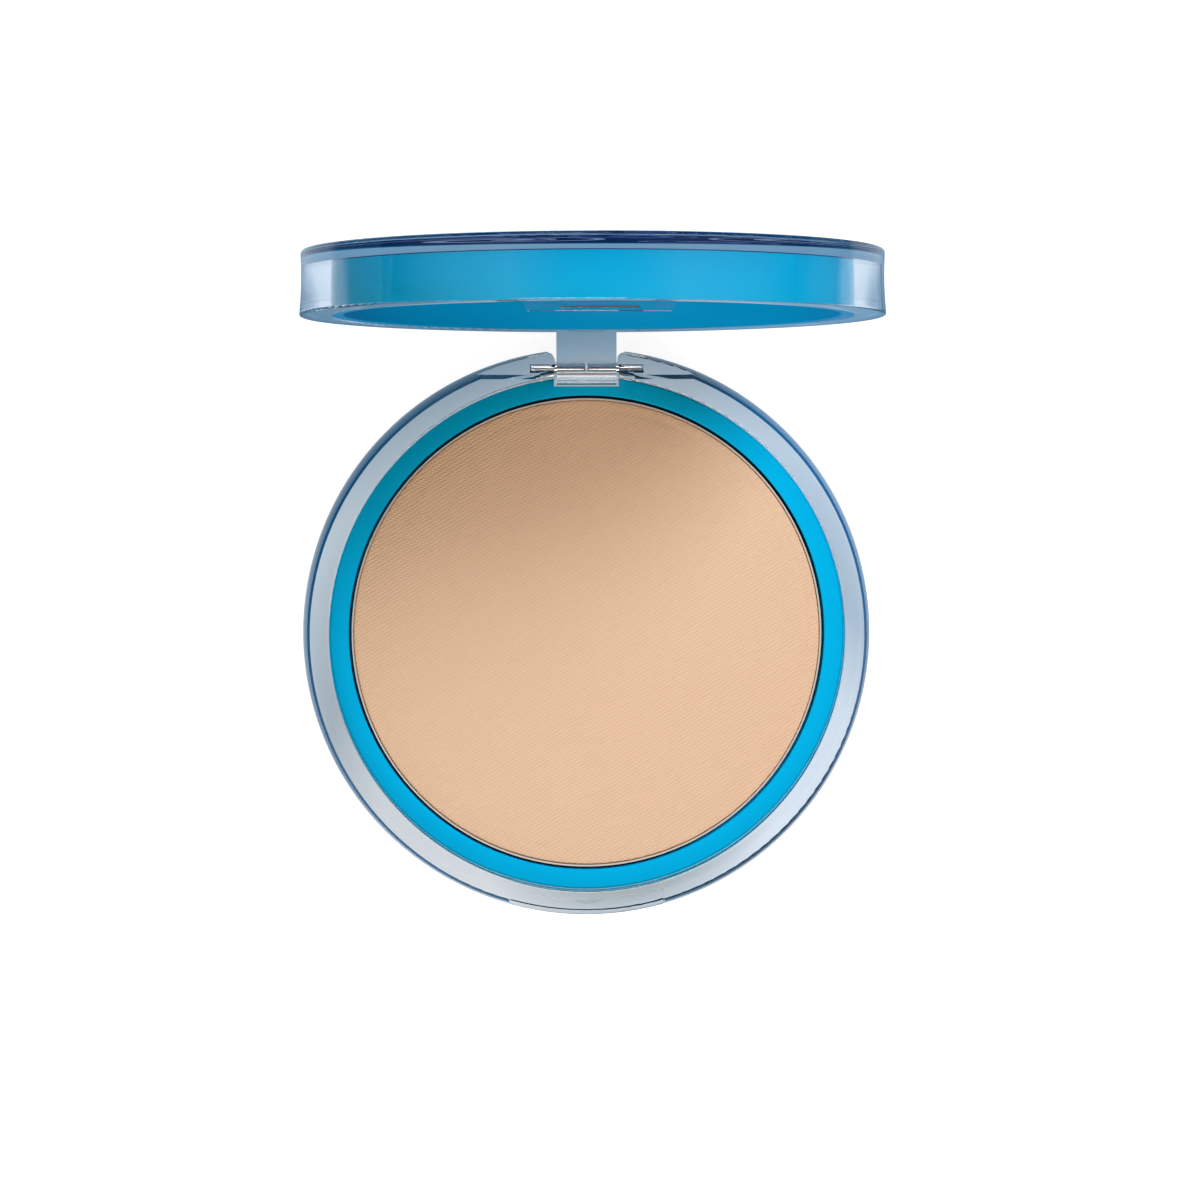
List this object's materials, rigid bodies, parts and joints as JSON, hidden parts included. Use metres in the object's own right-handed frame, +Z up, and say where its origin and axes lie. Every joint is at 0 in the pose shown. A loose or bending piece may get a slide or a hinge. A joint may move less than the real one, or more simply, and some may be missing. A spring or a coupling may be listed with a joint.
{
  "type": "powder compact",
  "caption": "Round pressed-powder compact with a clear bowed case, coloured inner ring, hinged mirror lid, snap catch and thumb notch.",
  "frame": {"origin": "middle of the base's underside, on the table", "axes": "+Z up, -Y to the thumb notch and the user, +Y to the hinge, +X to the user's right; the lid stands open at 95.5 degrees"},
  "size_m": [0.0712, 0.0879, 0.0718],
  "materials": {
    "clear_plastic": "polished clear plastic",
    "turquoise_plastic": "satin moulded plastic",
    "label_paper": "coated label paper",
    "glue": "dried glue",
    "pan_metal": "drawn metal",
    "pressed_powder": "pressed powder with a woven press mark",
    "pin_steel": "bright drawn steel",
    "printed_film": "printed dark blue film with a pale scroll pattern",
    "sticky_pad": "foam adhesive tape",
    "mirror_glass": "silvered glass with a bevelled edge"
  },
  "bodies": {
    "base": {"base_shell": "clear_plastic", "bottom_label": "label_paper", "pan_tray": "turquoise_plastic", "pan_glue": "glue", "powder_pan": "pan_metal", "powder_cake": "pressed_powder", "hinge_pin_left": "pin_steel", "hinge_pin_right": "pin_steel"},
    "lid": {"lid_shell": "clear_plastic", "lid_film": "printed_film", "lid_liner": "turquoise_plastic", "mirror_pad": "sticky_pad", "lid_mirror": "mirror_glass"}
  },
  "joints": [
    {"name": "lid_hinge", "type": "hinge", "parent": "base", "child": "lid", "pos_m": [0, 0.0332, 0.0039], "axis": [-1, 0, 0], "range_deg": [-95.5, 10]}
  ]
}
